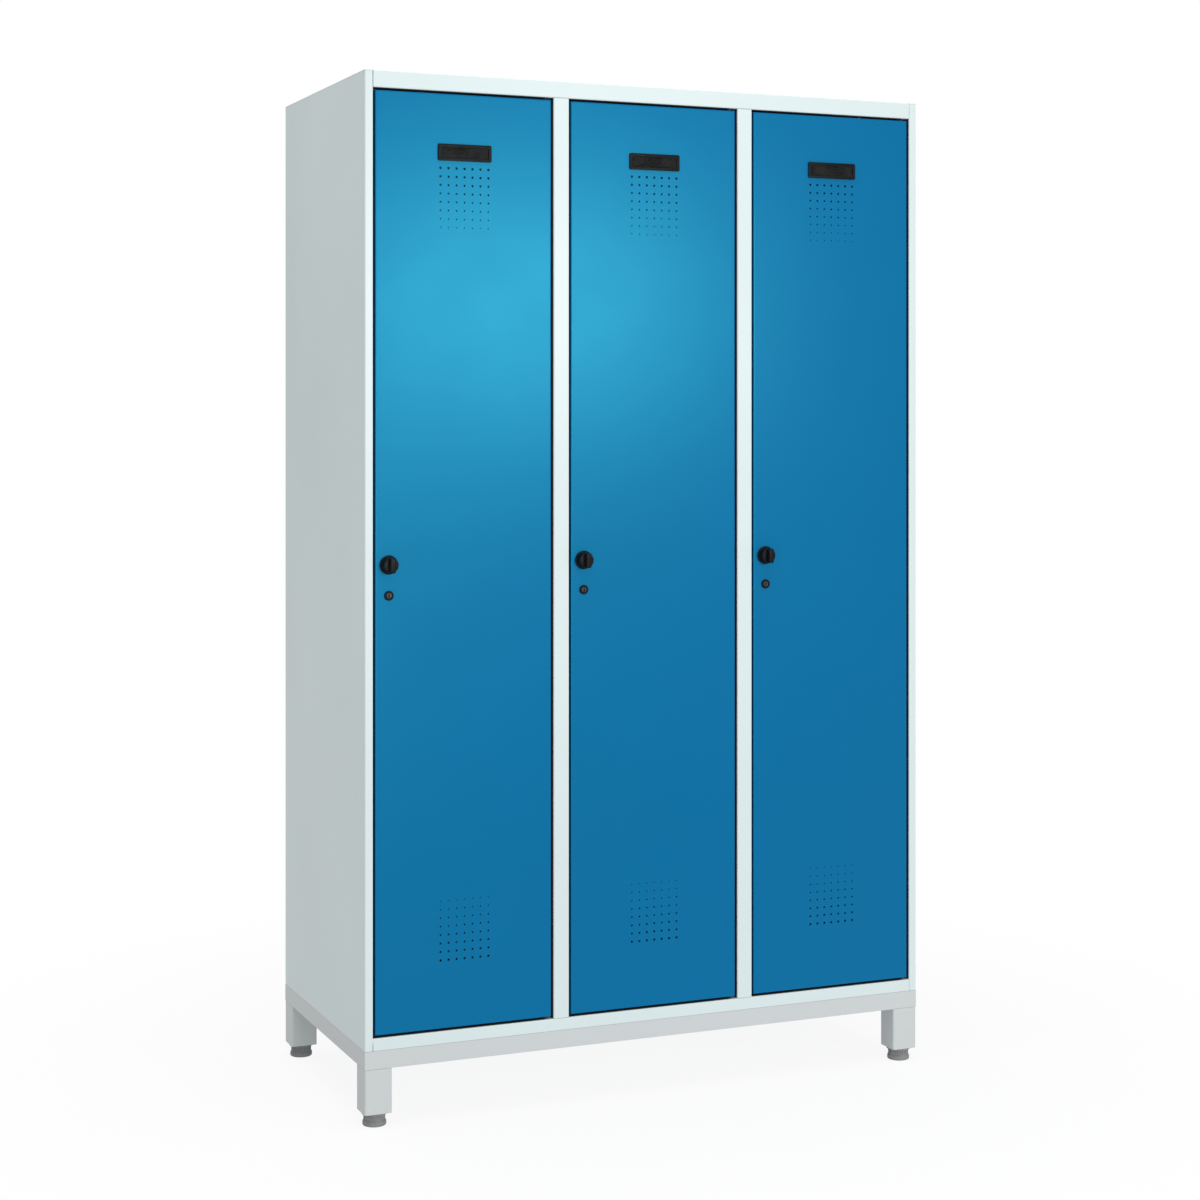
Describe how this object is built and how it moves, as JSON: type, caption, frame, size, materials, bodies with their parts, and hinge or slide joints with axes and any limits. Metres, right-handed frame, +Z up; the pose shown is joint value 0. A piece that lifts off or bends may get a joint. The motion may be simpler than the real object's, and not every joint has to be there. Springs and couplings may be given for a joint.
{
  "type": "locker cabinet",
  "caption": "Tall steel locker cabinet on a legged stand, with side-hinged blue doors, turn knob latches, vent fields and label holders.",
  "frame": {"origin": "on the floor, under the middle of the whole outline in width and in depth, knobs included", "axes": "+X to the right seen from the front, +Y towards the back, so the doors face -Y, +Z up"},
  "size_m": [1.11, 0.55, 1.85],
  "materials": {
    "grey_paint": "smooth pale grey powder coat, satin",
    "stand_paint": "pale grey powder coat, satin",
    "blue_paint": "mid blue powder coat, semi-gloss",
    "black_plastic": "black moulded plastic, fine grain",
    "foot_plastic": "mid grey moulded plastic",
    "label_card": "dark card insert behind the label window",
    "dark_steel": "blackened steel, satin",
    "zinc_steel": "bright zinc plate"
  },
  "bodies": {
    "cabinet": {"stand_frame": "stand_paint", "leg_front_left": "stand_paint", "foot_front_left": "foot_plastic", "leg_front_right": "stand_paint", "foot_front_right": "foot_plastic", "leg_rear_left": "stand_paint", "foot_rear_left": "foot_plastic", "leg_rear_right": "stand_paint", "foot_rear_right": "foot_plastic", "side_panel_left": "grey_paint", "side_panel_right": "grey_paint", "back_panel": "grey_paint", "top_panel": "grey_paint", "bottom_panel": "grey_paint", "mullion_left": "grey_paint", "mullion_right": "grey_paint", "partition_left": "grey_paint", "partition_right": "grey_paint", "hat_shelf_left": "grey_paint", "coat_rail_left": "zinc_steel", "hinge_upper_left": "dark_steel", "hinge_lower_left": "dark_steel", "hat_shelf_middle": "grey_paint", "coat_rail_middle": "zinc_steel", "hinge_upper_middle": "dark_steel", "hinge_lower_middle": "dark_steel", "hat_shelf_right": "grey_paint", "coat_rail_right": "zinc_steel", "hinge_upper_right": "dark_steel", "hinge_lower_right": "dark_steel"},
    "door_left": {"door_panel_left": "blue_paint", "door_stiffener_left": "blue_paint", "label_holder_left": "black_plastic", "label_card_left": "label_card", "lock_rosette_left": "black_plastic", "lock_case_left": "zinc_steel", "cylinder_collar_left": "black_plastic"},
    "latch_left": {"turn_knob_left": "black_plastic", "latch_cam_left": "zinc_steel"},
    "key_plug_body_left": {"key_plug_left": "dark_steel"},
    "door_middle": {"door_panel_middle": "blue_paint", "door_stiffener_middle": "blue_paint", "label_holder_middle": "black_plastic", "label_card_middle": "label_card", "lock_rosette_middle": "black_plastic", "lock_case_middle": "zinc_steel", "cylinder_collar_middle": "black_plastic"},
    "latch_middle": {"turn_knob_middle": "black_plastic", "latch_cam_middle": "zinc_steel"},
    "key_plug_body_middle": {"key_plug_middle": "dark_steel"},
    "door_right": {"door_panel_right": "blue_paint", "door_stiffener_right": "blue_paint", "label_holder_right": "black_plastic", "label_card_right": "label_card", "lock_rosette_right": "black_plastic", "lock_case_right": "zinc_steel", "cylinder_collar_right": "black_plastic"},
    "latch_right": {"turn_knob_right": "black_plastic", "latch_cam_right": "zinc_steel"},
    "key_plug_body_right": {"key_plug_right": "dark_steel"}
  },
  "joints": [
    {"name": "door_hinge_left", "type": "hinge", "parent": "cabinet", "child": "door_left", "pos_m": [-0.2132, -0.241, 0.9885], "axis": [0, 0, 1], "range_deg": [0, 110]},
    {"name": "latch_turn_left", "type": "hinge", "parent": "door_left", "child": "latch_left", "pos_m": [-0.5108, -0.24, 0.984], "axis": [0, 1, 0], "range_deg": [0, 90]},
    {"name": "key_turn_left", "type": "hinge", "parent": "door_left", "child": "key_plug_body_left", "pos_m": [-0.5108, -0.24, 0.93], "axis": [0, 1, 0], "range_deg": [0, 90]},
    {"name": "door_hinge_middle", "type": "hinge", "parent": "cabinet", "child": "door_middle", "pos_m": [0.1568, -0.241, 0.9885], "axis": [0, 0, 1], "range_deg": [0, 110]},
    {"name": "latch_turn_middle", "type": "hinge", "parent": "door_middle", "child": "latch_middle", "pos_m": [-0.1408, -0.24, 0.984], "axis": [0, 1, 0], "range_deg": [0, 90]},
    {"name": "key_turn_middle", "type": "hinge", "parent": "door_middle", "child": "key_plug_body_middle", "pos_m": [-0.1408, -0.24, 0.93], "axis": [0, 1, 0], "range_deg": [0, 90]},
    {"name": "door_hinge_right", "type": "hinge", "parent": "cabinet", "child": "door_right", "pos_m": [0.5268, -0.241, 0.9885], "axis": [0, 0, 1], "range_deg": [0, 110]},
    {"name": "latch_turn_right", "type": "hinge", "parent": "door_right", "child": "latch_right", "pos_m": [0.2292, -0.24, 0.984], "axis": [0, 1, 0], "range_deg": [0, 90]},
    {"name": "key_turn_right", "type": "hinge", "parent": "door_right", "child": "key_plug_body_right", "pos_m": [0.2292, -0.24, 0.93], "axis": [0, 1, 0], "range_deg": [0, 90]}
  ]
}
